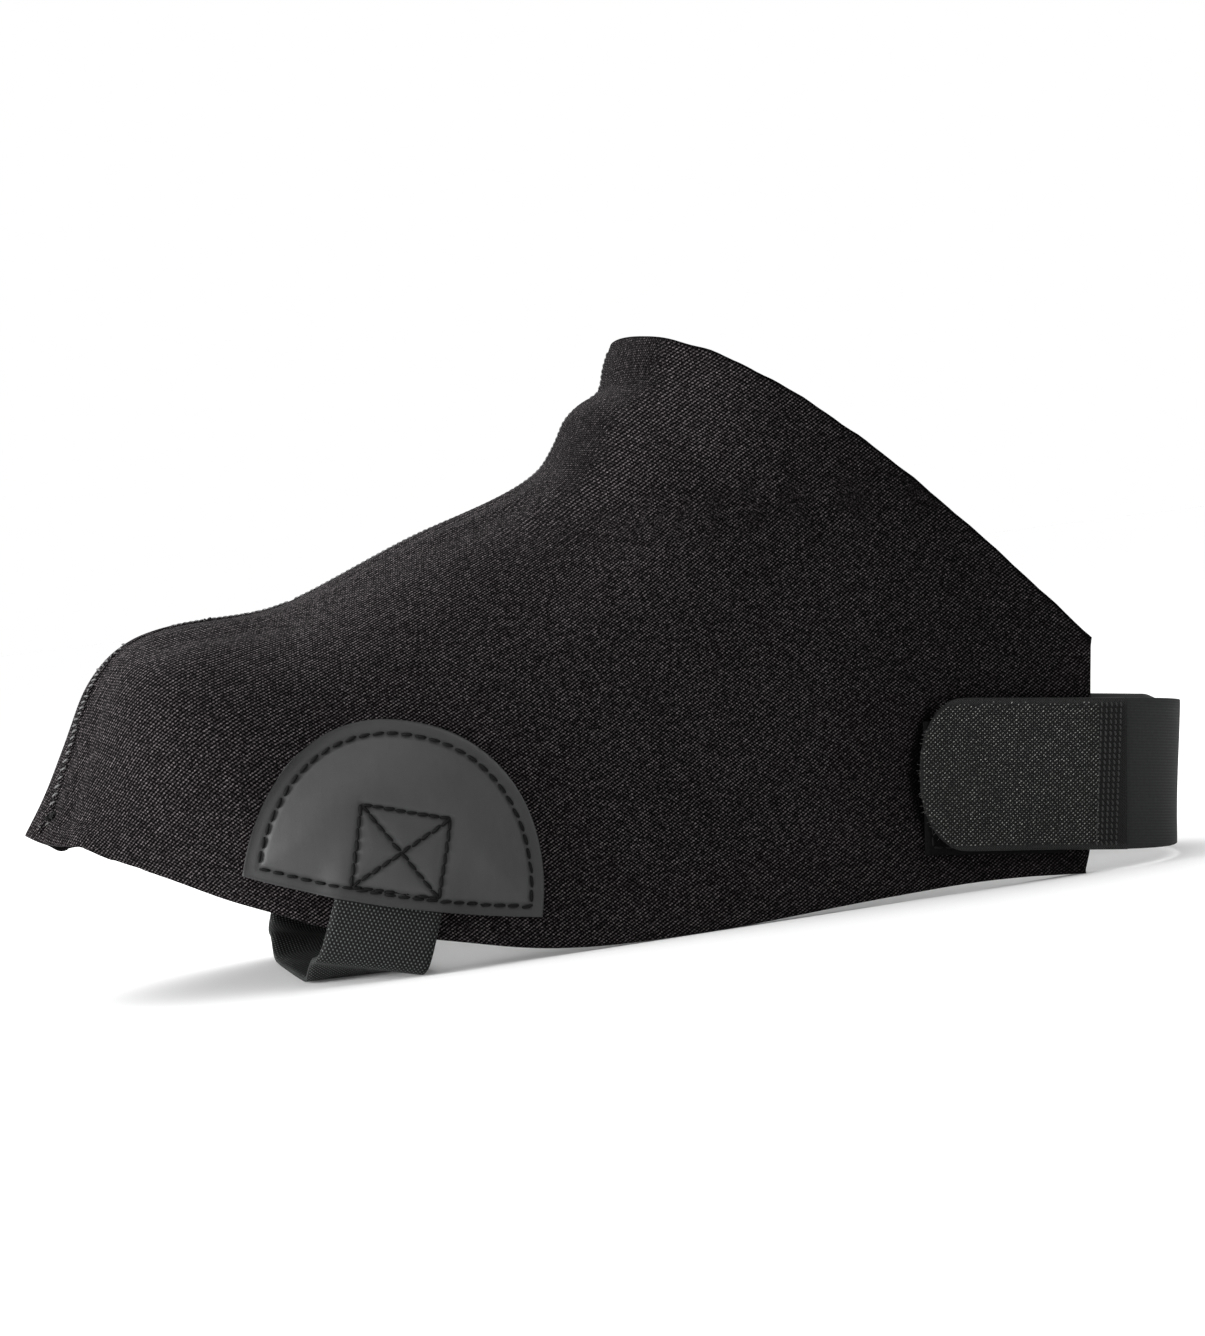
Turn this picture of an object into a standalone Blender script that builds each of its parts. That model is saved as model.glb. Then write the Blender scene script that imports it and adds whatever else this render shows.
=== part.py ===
"""Winter overshoe for a left foot: a neoprene cover worn over a boot's toe, instep and ankle.

The cover is open at the collar, at the heel and underneath. Metres, +X from toe to heel, +Y to the
inner side of the foot, +Z up. The cover stands on its foot strap and on the lower edge of its panels.
"""

import math

import bmesh
import bpy
import numpy as np

# Driving sizes of the cover.
COVER_LENGTH = 0.263
BALL_WIDTH = 0.109
INSTEP_HEIGHT = 0.117
HEEL_HEIGHT = 0.0586
WALL = 0.003
FIT_GAP = 0.0003
STRAP_SHARE = 0.2684

# Driving sizes of the straps and sewn pieces.
WEBBING_WIDTH = 0.0254
WEBBING_THICKNESS = 0.0014
WEBBING_SEWN_LENGTH = 0.0245
STRAP_FLAT_HALF_WIDTH = 0.030
STRAP_FOLD_HALF_WIDTH = 0.0435
STRAP_DROP_LENGTH = 0.0092
PATCH_WIDTH = 0.0713
PATCH_HEIGHT = 0.0414
PATCH_BOW_HEIGHT = 0.0022
PATCH_THICKNESS = 0.001
PATCH_RIM_LENGTH = 0.0012
PATCH_RISE_LENGTH = 0.0042
PATCH_POWER = 2.17
PATCH_SLANT = -0.034
BAND_WIDTH = 0.0381
BAND_REAR_WIDTH = 0.0363
BAND_THICKNESS = 0.0014
PAD_THICKNESS = 0.0012
PAD_LENGTH = 0.0375
PAD_WIDTH = 0.033
TAB_LENGTH = 0.0544
TAB_THICKNESS = 0.0018
TAB_NOSE_LENGTH = 0.0118
TAB_JOINT_LENGTH = 0.0116
PAD_BEHIND_LENGTH = 0.0017
PAD_DROP_LENGTH = 0.0008
BAND_FLANK_LENGTH = 0.0462
BAND_REACH_LENGTH = 0.0337
BAND_SEWN_LENGTH = 0.037

# Slopes seen from the side: the patch and webbing lean to the toe, the heel band falls to the rear.
PATCH_LEAN = math.radians(15.7)
WEBBING_LEAN = math.radians(20.0)
BAND_FALL = math.radians(7.25)

# One row per section, from the toe's lower edge over the instep and round to the collar. The seam and hem
# points are shares of the length, the seam heights of the instep height and the hem heights of the heel
# height. The half width and the centre are shares of half the ball width and the bow of the instep height.
# Shoulder is the upper width against the hem's, crown the share of the section that the curved top takes.
COLUMNS = (
    "seam_along", "seam_up", "hem_along", "hem_up", "half", "shoulder",
    "crown", "sweep", "power", "bow", "skew", "centre",
)
SECTIONS = (
    (-0.0084, 0.3632, 0.0707, 0.5870, 0.6606, 1.00, 1.00, 0.40, 2.00, 0.0000, 0.00, 0.1101),
    (0.0151, 0.4433, 0.1087, 0.5068, 0.7890, 1.00, 1.00, 0.60, 2.05, 0.0000, 0.00, 0.1009),
    (0.0413, 0.5529, 0.1544, 0.3993, 0.8862, 1.00, 1.00, 0.78, 2.10, 0.0000, 0.00, 0.0917),
    (0.0684, 0.6682, 0.1962, 0.3191, 0.9413, 1.00, 0.97, 0.90, 2.15, 0.0000, 0.00, 0.0771),
    (0.1100, 0.7474, 0.2342, 0.2467, 0.9761, 0.99, 0.88, 0.97, 2.20, 0.0000, 0.00, 0.0624),
    (0.1694, 0.7676, 0.2722, 0.2049, 0.9945, 0.97, 0.80, 1.00, 2.20, 0.0000, 0.00, 0.0477),
    (0.2377, 0.7701, 0.3141, 0.1596, 1.0000, 0.95, 0.74, 1.00, 2.15, 0.0000, 0.00, 0.0330),
    (0.3152, 0.8282, 0.3673, 0.1024, 0.9872, 0.92, 0.68, 1.00, 2.10, 0.0000, 0.00, 0.0220),
    (0.3963, 0.9009, 0.4281, 0.0392, 0.9541, 0.91, 0.62, 1.00, 2.05, 0.0000, 0.00, 0.0110),
    (0.4741, 0.9530, 0.5042, 0.0051, 0.9138, 0.92, 0.54, 1.00, 2.05, 0.0000, 0.00, 0.0037),
    (0.5243, 1.0085, 0.6030, 0.0000, 0.8771, 0.95, 0.45, 1.00, 2.10, 0.0000, 0.00, 0.0000),
    (0.5445, 1.0654, 0.7247, 0.0222, 0.8349, 1.00, 0.38, 1.00, 2.15, 0.0000, 0.00, 0.0000),
    (0.5582, 1.1110, 0.8578, 0.0358, 0.7798, 1.07, 0.33, 1.00, 2.20, 0.0000, 0.00, 0.0000),
    (0.5709, 1.1392, 0.9719, 0.0000, 0.7248, 1.15, 0.29, 1.00, 2.25, 0.0000, 0.00, 0.0000),
    (0.5854, 1.1617, 0.9821, 0.3072, 0.7156, 1.16, 0.29, 1.00, 2.25, 0.0171, 1.20, 0.0000),
    (0.5985, 1.1957, 0.9939, 0.6764, 0.7156, 1.16, 0.29, 1.00, 2.25, 0.0393, 1.20, 0.0000),
    (0.6112, 1.2668, 1.0027, 0.9995, 0.7248, 1.14, 0.28, 1.00, 2.25, 0.0585, 0.68, 0.0000),
)
STEPS = (3, 3, 3, 3, 3, 2, 2, 2, 2, 2, 3, 3, 3, 3, 2, 2)
POINTS_PER_SIDE = 18

OUTER, INNER = -1, 1
TOE_X = -STRAP_SHARE * COVER_LENGTH

TABLE = np.array(SECTIONS)
SCALES = {
    "seam_along": COVER_LENGTH, "seam_up": INSTEP_HEIGHT, "hem_along": COVER_LENGTH, "hem_up": HEEL_HEIGHT,
    "half": BALL_WIDTH / 2, "bow": INSTEP_HEIGHT, "centre": BALL_WIDTH / 2,
}


def slopes():
    """Tangents of every column at every row that never overshoot the rows."""
    step = np.diff(TABLE, axis=0)
    before, after = step[:-1], step[1:]
    same = before * after > 0
    total = np.where(same, before + after, 1.0)
    inner = np.where(same, 2 * before * after / total, 0.0)
    return np.vstack([step[:1], inner, step[-1:]])


SLOPES = slopes()


def section(u):
    """Every column at the section numbers u, in metres or as plain shares."""
    u = np.clip(np.asarray(u, float), 0, len(TABLE) - 1)
    i = np.minimum(u.astype(int), len(TABLE) - 2)
    t = (u - i)[..., None]
    value = (
        TABLE[i] * (2 * t**3 - 3 * t**2 + 1)
        + SLOPES[i] * (t**3 - 2 * t**2 + t)
        + TABLE[i + 1] * (3 * t**2 - 2 * t**3)
        + SLOPES[i + 1] * (t**3 - t**2)
    )
    return {name: value[..., k] * SCALES.get(name, 1.0) for k, name in enumerate(COLUMNS)}


def smooth(t):
    t = np.clip(t, 0, 1)
    return t * t * (3 - 2 * t)


def surface(u, s, side):
    """Outside of the cover: section u, share s down it from the seam, on the outer or inner side."""
    row = section(u)
    run = row["hem_along"] - row["seam_along"]
    rise = row["hem_up"] - row["seam_up"]
    length = np.hypot(run, rise)
    bow = row["bow"] * 4 * s * (1 - s) * (1 + row["skew"] * (0.5 - s))
    x = TOE_X + row["seam_along"] + s * run - bow * rise / length
    z = row["seam_up"] + s * rise + bow * run / length
    turn = np.clip(s / row["crown"], 0, 1) * row["sweep"]
    arch = 1 - np.abs(1 - turn) ** row["power"]
    full = 1 - np.abs(1 - row["sweep"]) ** row["power"]
    rounded = (arch / full) ** (1 / row["power"])
    width = row["half"] * (row["shoulder"] + (1 - row["shoulder"]) * smooth(s))
    y = row["centre"] + side * width * rounded
    return np.stack(np.broadcast_arrays(x, y, z), axis=-1)


SEEK_U, SEEK_S = np.meshgrid(np.linspace(2, 16, 85), np.linspace(0.1, 1.15, 43), indexing="ij")
SEEK = surface(SEEK_U, SEEK_S, INNER)[..., [0, 2]].reshape(-1, 2)


def locate(x, z):
    """Section and share at points (x, z) of the cover's side."""
    goal = np.stack([x, z], axis=-1)
    near = np.argmin(((goal[..., None, :] - SEEK) ** 2).sum(-1), axis=-1)
    u = SEEK_U.reshape(-1)[near]
    s = SEEK_S.reshape(-1)[near]
    tiny = 1e-4
    for _ in range(12):
        here = surface(u, s, INNER)[..., [0, 2]]
        by_u = (surface(u + tiny, s, INNER)[..., [0, 2]] - here) / tiny
        by_s = (surface(u, s + tiny, INNER)[..., [0, 2]] - here) / tiny
        miss = goal - here
        area = by_u[..., 0] * by_s[..., 1] - by_u[..., 1] * by_s[..., 0]
        du = (miss[..., 0] * by_s[..., 1] - miss[..., 1] * by_s[..., 0]) / area
        ds = (by_u[..., 0] * miss[..., 1] - by_u[..., 1] * miss[..., 0]) / area
        u = np.clip(u + np.clip(du, -0.5, 0.5), 1, len(TABLE) - 1.001)
        s = np.clip(s + np.clip(ds, -0.1, 0.1), 0.05, 1.4)
    return u, s


def reach(x, z, side):
    """How far the cover's outside lies from the middle plane at (x, z)."""
    u, s = locate(x, z)
    return surface(u, s, side)[..., 1]


def flank(x, z, side, lift):
    """Points a lift off the cover's outside, above the points (x, z) of its side."""
    tiny = 2e-4
    y = reach(x, z, side)
    by_x = (reach(x + tiny, z, side) - reach(x - tiny, z, side)) / (2 * tiny)
    by_z = (reach(x, z + tiny, side) - reach(x, z - tiny, side)) / (2 * tiny)
    away = np.stack([-side * by_x, np.full_like(by_x, side), -side * by_z], axis=-1)
    away /= np.linalg.norm(away, axis=-1, keepdims=True)
    lift = np.broadcast_to(lift, y.shape)
    return np.stack([x, y, z], axis=-1) + away * lift[..., None]


def facing(grid):
    """Unit normals of a grid of points, pointing along (first direction) x (second direction)."""
    across = np.cross(np.gradient(grid, axis=0), np.gradient(grid, axis=1))
    return across / np.linalg.norm(across, axis=-1, keepdims=True)


def solid(name, outside, inside, colour, roughness):
    """One closed body between two grids of the same size."""
    rows, columns = outside.shape[:2]
    points = np.concatenate([outside.reshape(-1, 3), inside.reshape(-1, 3)])
    below = rows * columns
    faces = []
    for i in range(rows - 1):
        for j in range(columns - 1):
            a = i * columns + j
            loop = (a, a + columns, a + columns + 1, a + 1)
            faces.append(loop)
            faces.append(tuple(below + k for k in reversed(loop)))
    edge = [(i, 0) for i in range(rows)]
    edge += [(rows - 1, j) for j in range(1, columns)]
    edge += [(i, columns - 1) for i in range(rows - 2, -1, -1)]
    edge += [(0, j) for j in range(columns - 2, 0, -1)]
    ring = [i * columns + j for i, j in edge]
    for a, b in zip(ring, ring[1:] + ring[:1]):
        faces.append((b, a, a + below, b + below))
    mesh = bpy.data.meshes.new(name)
    mesh.from_pydata([tuple(map(float, p)) for p in points], [], faces)
    shape = bmesh.new()
    shape.from_mesh(mesh)
    bmesh.ops.recalc_face_normals(shape, faces=shape.faces)
    shape.to_mesh(mesh)
    shape.free()
    mesh.shade_smooth()
    mesh.set_sharp_from_angle(angle=math.radians(40))
    material = bpy.data.materials.new(name)
    material.use_nodes = True
    shader = material.node_tree.nodes["Principled BSDF"]
    shader.inputs["Base Color"].default_value = (*colour, 1.0)
    shader.inputs["Roughness"].default_value = roughness
    mesh.materials.append(material)
    body = bpy.data.objects.new(name, mesh)
    bpy.context.scene.collection.objects.link(body)
    return body


def spaced(curve, shares):
    """Points at shares of the length of each curve; curves run along the second axis."""
    legs = np.linalg.norm(np.diff(curve, axis=1), axis=-1)
    run = np.concatenate([np.zeros((len(curve), 1)), np.cumsum(legs, axis=1)], axis=1)
    run /= run[:, -1:]
    return np.array([[np.interp(shares, r, c[:, k]) for k in range(3)] for r, c in zip(run, curve)]).swapaxes(1, 2)


def build_upper():
    """The neoprene shell: sections from hem to seam on the outer side and back to the hem on the inner."""
    numbers = np.concatenate([i + np.arange(n) / n for i, n in enumerate(STEPS)] + [[len(STEPS)]])
    turn = 1 - np.cos(np.linspace(0, math.pi / 2, 60))
    shares = np.linspace(0, 1, POINTS_PER_SIDE + 1)
    shares = shares * (0.62 + 0.38 * shares)
    sides = []
    for side in (OUTER, INNER):
        crown = section(numbers)["crown"][:, None]
        along = np.concatenate([crown * turn, crown + (1 - crown) * np.linspace(0, 1, 31)[1:]], axis=1)
        curves = surface(numbers[:, None], along, side)
        sides.append(spaced(curves, shares))
    outside = np.concatenate([sides[0][:, ::-1], sides[1][:, 1:]], axis=1)
    outside[..., 2] = np.maximum(outside[..., 2], 0)
    away = facing(outside)
    # At the toe's corners the lower edge runs on into the hem, so the wall there follows the panel beside it.
    away[:3, :3] = away[:3, 3:4]
    away[:3, -3:] = away[:3, -4:-3]
    inside = outside - away * WALL
    hem = (numbers >= 7) & (numbers <= 13)
    for edge in (0, -1):
        inside[hem, edge, 2] = outside[hem, edge, 2]
    inside[..., 2] = np.maximum(inside[..., 2], 0)
    return solid("upper", outside, inside, (0.012, 0.010, 0.011), 0.85)


# The patch's own axes on the side of the cover, from the middle of its lower edge.
PATCH_FOOT = (TOE_X + 0.3011 * COVER_LENGTH, 0.3328 * HEEL_HEIGHT)
WEBBING_AT = (TOE_X + 0.2939 * COVER_LENGTH, 0.3063 * HEEL_HEIGHT)


def leaning(foot, lean, across, up):
    x = foot[0] + across * math.cos(lean) + up * math.sin(lean)
    z = foot[1] - across * math.sin(lean) + up * math.cos(lean)
    return x, z


def in_webbing_axes(x, z):
    dx, dz = x - WEBBING_AT[0], z - WEBBING_AT[1]
    across = dx * math.cos(WEBBING_LEAN) - dz * math.sin(WEBBING_LEAN)
    up = dx * math.sin(WEBBING_LEAN) + dz * math.cos(WEBBING_LEAN)
    return across, up


def build_patch(name, side):
    """Half-moon reinforcement that rises over the sewn end of the webbing."""
    columns, rows = 21, 12
    angles = np.linspace(0, math.pi, columns)
    corner = math.radians(38)

    def rim(angle):
        power = 2 / PATCH_POWER
        across = -np.sign(np.cos(angle)) * np.abs(np.cos(angle)) ** power * PATCH_WIDTH / 2
        up = np.abs(np.sin(angle)) ** power * PATCH_HEIGHT
        return across + PATCH_SLANT * up, up

    top = np.stack(rim(corner + (math.pi - 2 * corner) * np.linspace(0, 1, columns)), axis=-1)
    left = np.stack(rim(corner * np.linspace(0, 1, rows)), axis=-1)
    right = np.stack(rim(math.pi - corner * np.linspace(0, 1, rows)), axis=-1)
    low_across = np.linspace(left[0, 0], right[0, 0], columns)
    low_up = -PATCH_BOW_HEIGHT * (1 - (low_across * 2 / PATCH_WIDTH) ** 2)
    low = np.stack([low_across, low_up], axis=-1)
    a = np.linspace(0, 1, columns)[:, None, None]
    b = np.linspace(0, 1, rows)[None, :, None]
    flat = (1 - b) * low[:, None] + b * top[:, None] + (1 - a) * left[None] + a * right[None]
    flat -= (1 - a) * (1 - b) * low[0] + a * (1 - b) * low[-1] + (1 - a) * b * top[0] + a * b * top[-1]
    x, z = leaning(PATCH_FOOT, PATCH_LEAN, flat[..., 0], flat[..., 1])
    across, up = in_webbing_axes(x, z)
    beyond = np.maximum(np.abs(across) - WEBBING_WIDTH / 2, up - WEBBING_SEWN_LENGTH)
    rise = 1 - smooth((beyond - PATCH_RIM_LENGTH) / PATCH_RISE_LENGTH)
    lift = FIT_GAP + (WEBBING_THICKNESS + FIT_GAP) * rise
    outside = flank(x, z, side, lift + PATCH_THICKNESS)
    inside = flank(x, z, side, lift)
    return solid(name, outside, inside, (0.045, 0.045, 0.047), 0.5)


def build_foot_strap():
    """Webbing from under one patch, down the side, under the foot and up to the other patch."""
    across = np.linspace(-WEBBING_WIDTH / 2, WEBBING_WIDTH / 2, 5)
    downs = np.linspace(WEBBING_SEWN_LENGTH, -STRAP_DROP_LENGTH, 12)
    lift = FIT_GAP + WEBBING_THICKNESS
    fold_tilt = math.radians(14)
    fold_run = STRAP_FOLD_HALF_WIDTH - STRAP_FLAT_HALF_WIDTH
    steps = [STRAP_FLAT_HALF_WIDTH + fold_run * share for share in (1, 0.74, 0.48, 0.22, 0)]
    steps.append(STRAP_FLAT_HALF_WIDTH / 2)

    def under(y):
        tilt = fold_tilt * smooth((abs(y) - STRAP_FLAT_HALF_WIDTH) / fold_run)
        back = (across - WEBBING_WIDTH / 2) * math.cos(tilt) + WEBBING_WIDTH / 2
        return np.stack([back, np.full_like(across, y), (WEBBING_WIDTH / 2 - across) * math.sin(tilt)], axis=-1)

    def flank_rows(side):
        w, l = np.meshgrid(across, downs, indexing="ij")
        x, z = leaning(WEBBING_AT, WEBBING_LEAN, w, l)
        return flank(x, z, side, lift).swapaxes(0, 1)

    def fold(side, start, start_way):
        end = under(side * STRAP_FOLD_HALF_WIDTH)
        pull = STRAP_DROP_LENGTH * 0.7
        into = end - np.array([0, -side * pull, 0])
        out = start + start_way * pull
        rows = []
        for t in np.linspace(0, 1, 9)[1:-1]:
            rows.append((1 - t) ** 3 * start + 3 * (1 - t) ** 2 * t * out + 3 * (1 - t) * t * t * into + t**3 * end)
        return rows

    halves = []
    for side in (OUTER, INNER):
        down = flank_rows(side)
        way = down[-1] - down[-2]
        way /= np.linalg.norm(way, axis=-1, keepdims=True)
        halves.append(list(down) + fold(side, down[-1], way) + [under(side * y) for y in steps])
    grid = np.array(halves[0] + [under(0.0)] + halves[1][::-1])
    grid[..., 2] = np.maximum(grid[..., 2], 0)
    inside = grid - facing(grid) * WEBBING_THICKNESS
    return solid("foot_strap", grid, inside, (0.028, 0.030, 0.029), 0.75)


# The heel band's axis starts at the tab's nose on the outer side and falls to the rear.
BAND_AT = (TOE_X + 0.8099 * COVER_LENGTH, 0.5213 * HEEL_HEIGHT)
BAND_POWER = 2.25


def band_curve():
    """Plan of the band behind the cover: reach to the rear against share of the half width."""
    angle = np.linspace(0, math.pi, 721)
    power = 2 / BAND_POWER
    back = BAND_REACH_LENGTH * np.sin(angle).clip(0) ** power
    share = np.sign(np.cos(angle)) * np.abs(np.cos(angle)) ** power
    width = 0.75 * BALL_WIDTH / 2
    run = np.concatenate([[0], np.cumsum(np.hypot(np.diff(back), np.diff(share * width)))])
    return run, back, share


RUN, BACK, SHARE = band_curve()


def band_base(q, v):
    """The band's inner line at q along it from the tab's nose and v up from its middle."""
    q, v = np.broadcast_arrays(np.asarray(q, float), np.asarray(v, float))
    along = np.where(q >= BAND_FLANK_LENGTH + RUN[-1], 2 * BAND_FLANK_LENGTH + RUN[-1] - q, q)
    behind = (q > BAND_FLANK_LENGTH) & (q < BAND_FLANK_LENGTH + RUN[-1])
    part = np.clip(q - BAND_FLANK_LENGTH, 0, RUN[-1])
    along = np.where(behind, BAND_FLANK_LENGTH + np.interp(part, RUN, BACK), along)
    share = np.interp(part, RUN, SHARE)
    side = np.where(q < BAND_FLANK_LENGTH + RUN[-1] / 2, OUTER, INNER)
    x, z = leaning(BAND_AT, BAND_FALL, along, v)
    x_edge, z_edge = leaning(BAND_AT, BAND_FALL, np.minimum(along, BAND_FLANK_LENGTH), v)
    y_outer = reach(x_edge, z_edge, OUTER)
    y_inner = reach(x_edge, z_edge, INNER)
    y = np.where(side == OUTER, y_outer, y_inner) * np.abs(share)
    return np.stack([x, y, z], axis=-1)


def band_layer(q, v, lift):
    tiny = 2e-4
    q, v = np.broadcast_arrays(q, v)
    by_q = band_base(q + tiny, v) - band_base(q - tiny, v)
    by_v = band_base(q, v + tiny) - band_base(q, v - tiny)
    away = np.cross(by_q, by_v)
    away /= np.linalg.norm(away, axis=-1, keepdims=True)
    return band_base(q, v) + away * lift


def build_heel_band():
    start = TAB_LENGTH - TAB_JOINT_LENGTH
    end = BAND_FLANK_LENGTH + RUN[-1] + BAND_SEWN_LENGTH
    q = np.concatenate([
        np.linspace(start, BAND_FLANK_LENGTH, 3)[:-1],
        np.linspace(BAND_FLANK_LENGTH, BAND_FLANK_LENGTH + RUN[-1], 33),
        np.linspace(BAND_FLANK_LENGTH + RUN[-1], end, 9)[1:],
    ])
    rear = BAND_FLANK_LENGTH + RUN[-1] / 2
    width = BAND_WIDTH + (BAND_REAR_WIDTH - BAND_WIDTH) * smooth((q - TAB_LENGTH) / (rear - TAB_LENGTH))
    v = width[:, None] * np.linspace(-0.5, 0.5, 5)
    outside = band_layer(q[:, None], v, FIT_GAP + BAND_THICKNESS)
    inside = band_layer(q[:, None], v, FIT_GAP)
    return solid("heel_band", outside, inside, (0.025, 0.026, 0.027), 0.7)


def build_loop_pad():
    """Rectangle of loop tape sewn to the outer panel under the tab."""
    q = np.linspace(PAD_BEHIND_LENGTH, PAD_BEHIND_LENGTH + PAD_LENGTH, 9)
    v = np.linspace(0, 1, 6) * PAD_WIDTH - BAND_WIDTH / 2 - PAD_DROP_LENGTH
    q, v = np.meshgrid(q, v, indexing="ij")
    outside = band_layer(q, v, FIT_GAP + PAD_THICKNESS)
    inside = band_layer(q, v, FIT_GAP)
    return solid("loop_pad", outside, inside, (0.02, 0.02, 0.021), 0.9)


def build_hook_tab():
    """Hook tape with a rounded nose, over the loop pad and the end of the elastic."""
    turn = np.linspace(0, math.pi / 2, 10)
    nose = TAB_NOSE_LENGTH * (1 - np.cos(turn))
    blunt = 0.08
    half = BAND_WIDTH / 2 * (blunt + (1 - blunt) * np.sin(turn))
    straight = np.linspace(TAB_NOSE_LENGTH, TAB_LENGTH, 12)[1:]
    q = np.concatenate([nose, straight])
    half = np.concatenate([half, np.full(len(straight), BAND_WIDTH / 2)])
    v = half[:, None] * np.linspace(-1, 1, 7)
    under = FIT_GAP + max(BAND_THICKNESS, PAD_THICKNESS) + FIT_GAP
    outside = band_layer(q[:, None], v, under + TAB_THICKNESS)
    inside = band_layer(q[:, None], v, under)
    return solid("hook_tab", outside, inside, (0.03, 0.032, 0.031), 0.6)


for old in list(bpy.data.objects):
    bpy.data.objects.remove(old, do_unlink=True)

build_upper()
build_patch("patch_outer", OUTER)
build_patch("patch_inner", INNER)
build_foot_strap()
build_loop_pad()
build_hook_tab()
build_heel_band()
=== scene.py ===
"""The look of the winter overshoe: neoprene cover, coated patches, webbing, hook tape and elastic."""

import math
import random

import bmesh
import bpy
import numpy as np
from mathutils import Matrix, Vector
from mathutils.bvhtree import BVHTree


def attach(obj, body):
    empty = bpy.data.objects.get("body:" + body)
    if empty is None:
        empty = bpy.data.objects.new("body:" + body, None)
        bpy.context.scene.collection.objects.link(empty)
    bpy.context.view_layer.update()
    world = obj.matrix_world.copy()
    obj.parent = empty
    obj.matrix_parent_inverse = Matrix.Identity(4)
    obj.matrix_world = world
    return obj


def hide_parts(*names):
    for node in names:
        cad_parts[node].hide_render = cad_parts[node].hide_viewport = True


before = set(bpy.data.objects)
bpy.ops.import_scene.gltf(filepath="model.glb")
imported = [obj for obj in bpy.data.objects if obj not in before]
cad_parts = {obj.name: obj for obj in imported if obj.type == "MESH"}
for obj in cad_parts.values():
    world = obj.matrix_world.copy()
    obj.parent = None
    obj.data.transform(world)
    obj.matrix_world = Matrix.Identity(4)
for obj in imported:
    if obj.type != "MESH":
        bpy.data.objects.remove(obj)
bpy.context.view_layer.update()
bpy.ops.object.select_all(action="DESELECT")

MM = 0.001
OUTER, INNER = -1, 1
# How far beside the cover a look at its side starts, the fold that counts as an edge, and the area in
# square metres below which a part of the cover's map is its cut edge.
BESIDE = 90 * MM
SHARP = math.radians(50)
CUT_EDGE_AREA = 40e-4

# Where the patch, webbing and band lie on the side of the cover, how they lean, and their sizes.
PATCH_FOOT = (8.59 * MM, 19.50 * MM)
PATCH_LEAN = math.radians(15.7)
PATCH_HALF = 35.65 * MM
PATCH_HEIGHT = 41.4 * MM
PATCH_POWER = 2.17
PATCH_SLANT = -0.034
PATCH_BOW = 2.2 * MM
PATCH_STITCH_INSET = 2.9 * MM
BOX_CORNERS = ((-1.8, 23.5), (3.1, 42.5), (23.8, 36.2), (18.5, 17.9))
WEBBING_AT = (6.69 * MM, 17.95 * MM)
WEBBING_LEAN = math.radians(20)
WEBBING_HALF = 12.7 * MM
WEBBING_SEWN = 24.5 * MM
BAND_AT = (142.40 * MM, 30.55 * MM)
BAND_FALL = math.radians(7.25)
BAND_HALF = 19.05 * MM
TAB_NOSE = 11.8 * MM

# The knit's slant in degrees, its pitches, and how the photograph's camera is rolled.
KNIT_LEAN = 31
WALE_PITCH = 0.77 * MM
STITCH_PITCH = 0.71 * MM
CAMERA_LEAN = math.radians(7.25)

# The seam from the toe's lower edge to the collar: along, across and up, in millimetres.
SEAM = (
    (-70.0, -2.2, 43.6), (-68.2, -3.6, 45.6), (-65.9, -3.1, 49.3), (-63.6, -2.1, 54.4), (-61.3, -1.8, 58.9),
    (-59.0, -1.2, 64.0), (-56.9, -0.5, 69.1), (-54.3, -0.5, 74.2), (-52.7, -0.6, 76.7), (-51.2, -0.3, 79.2),
    (-49.9, -0.3, 80.9), (-48.5, -1.1, 82.1), (-46.9, -2.2, 83.3), (-44.8, -2.8, 85.1), (-42.7, -3.2, 86.2),
    (-40.4, -3.0, 87.1), (-37.0, -1.9, 87.9), (-30.0, -0.4, 89.4), (-22.0, 0.6, 89.8), (-12.0, 2.8, 90.0),
    (0.0, 4.4, 91.8), (12.3, 5.2, 96.9), (33.6, 5.6, 105.4), (54.1, 6.8, 111.4), (67.3, 9.4, 117.6),
    (72.8, 11.4, 123.5), (76.5, 12.4, 129.0), (79.8, 12.9, 132.5), (83.5, 13.4, 135.2), (87.2, 14.4, 139.4),
    (90.3, 15.4, 147.4),
)


class Value:
    """A number that varies over a surface; arithmetic on it adds Math nodes."""

    def __init__(self, finish, socket):
        self.finish = finish
        self.socket = socket

    def math(self, operation, *others):
        ends = [o.socket if isinstance(o, Value) else o for o in others]
        return self.finish.node("ShaderNodeMath", {"operation": operation}, self.socket, *ends)

    def __add__(self, other):
        return self.math("ADD", other)

    def __sub__(self, other):
        return self.math("SUBTRACT", other)

    def __mul__(self, other):
        return self.math("MULTIPLY", other)

    def __truediv__(self, other):
        return self.math("DIVIDE", other)

    def __rsub__(self, other):
        return self * -1.0 + other

    __radd__ = __add__
    __rmul__ = __mul__

    def sine(self, pitch, shift=0.0):
        """Wave from -1 to 1 that repeats every pitch."""
        return (self * (2 * math.pi / pitch) + shift).math("SINE")

    def floor(self):
        return self.math("FLOOR")

    def absolute(self):
        return self.math("ABSOLUTE")

    def power(self, exponent):
        return self.math("POWER", exponent)

    def highest(self, other):
        return self.math("MAXIMUM", other)

    def smooth(self, low, high):
        """0 below low, 1 above high, soft in between."""
        ends = {"From Min": low, "From Max": high}
        settings = {"interpolation_type": "SMOOTHSTEP"}
        return self.finish.node("ShaderNodeMapRange", settings, self.socket, **ends)


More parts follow.
